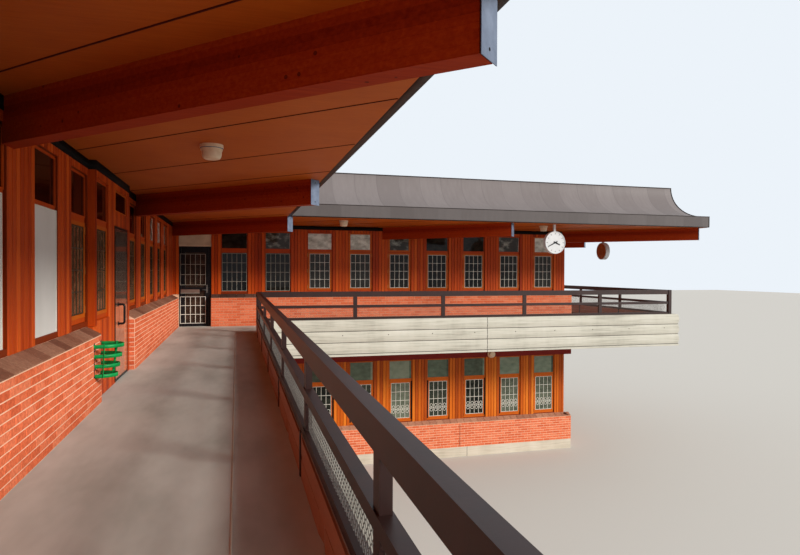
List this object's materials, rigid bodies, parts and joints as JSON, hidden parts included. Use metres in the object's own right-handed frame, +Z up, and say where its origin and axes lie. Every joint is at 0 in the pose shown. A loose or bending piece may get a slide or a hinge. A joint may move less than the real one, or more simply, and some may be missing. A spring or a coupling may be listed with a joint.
{
  "type": "two-storey school building",
  "caption": "Corner of an L-shaped two-storey school block in red brick and stained timber, with an upper gallery, concrete parapets, diagonal beams and a swept metal roof edge.",
  "frame": {"origin": "middle of the roof's outline in plan, at ground level", "axes": "+Z up; +X along wing B from the inner corner to its free end; wing A runs along -Y from the inner corner; the yard is at +X, -Y"},
  "size_m": [24.1, 27.3, 8.37],
  "materials": {
    "black_steel": "black-brown paint",
    "brick": "unglazed red brick, light mortar",
    "clock_white": "white paint",
    "concrete": "board-marked concrete",
    "floor_concrete": "floated concrete",
    "glass": "clear",
    "glulam": "stained glued-laminated timber",
    "green_paint": "green paint",
    "grey_metal": "blue-grey sheet metal",
    "lamp_white": "opal",
    "plywood": "stained plywood sheets",
    "roof_metal": "dark matt sheet metal",
    "timber": "stained boards",
    "white_panel": "white paint"
  },
  "bodies": {
    "root": {"beam_caps": "grey_metal", "beams": "glulam", "brick_end_b": "brick", "brick_outer_a": "brick", "brick_rear_b": "brick", "brick_yard_a": "brick", "brick_yard_b": "brick", "ceiling_a": "plywood", "ceiling_b": "plywood", "clock": "clock_white", "cove_outer": "roof_metal", "cove_rear": "roof_metal", "cove_yard_a": "roof_metal", "cove_yard_b": "roof_metal", "deck_a": "roof_metal", "deck_b": "roof_metal", "door_frames": "black_steel", "door_handle": "black_steel", "door_head_panels": "white_panel", "door_leaves": "black_steel", "door_panes": "glass", "door_screen": "timber", "gallery_floor_a": "floor_concrete", "gallery_floor_b": "floor_concrete", "gallery_floor_side": "floor_concrete", "ground_floor_a": "floor_concrete", "ground_floor_b": "floor_concrete", "hanging_drum": "clock_white", "head_beam_end_b": "glulam", "head_beam_outer_a": "glulam", "head_beam_rear_b": "glulam", "head_beam_yard_a": "glulam", "head_beam_yard_b": "glulam", "litter_bin": "green_paint", "lower_window_frames": "timber", "lower_window_panes": "glass", "parapet_end_b": "concrete", "parapet_yard_a": "concrete", "parapet_yard_b": "concrete", "party_wall": "brick", "railing_end_b": "black_steel", "railing_yard_a": "black_steel", "railing_yard_b": "black_steel", "roof_ends": "roof_metal", "soffit_lamps": "lamp_white", "timber_end_b": "timber", "timber_outer_a": "timber", "timber_rear_b": "timber", "timber_yard_a": "timber", "timber_yard_b": "timber", "upper_floor_a": "floor_concrete", "upper_floor_b": "floor_concrete", "upper_window_frames": "timber", "upper_window_panes": "glass", "wall_lamp": "lamp_white"}
  },
  "joints": []
}
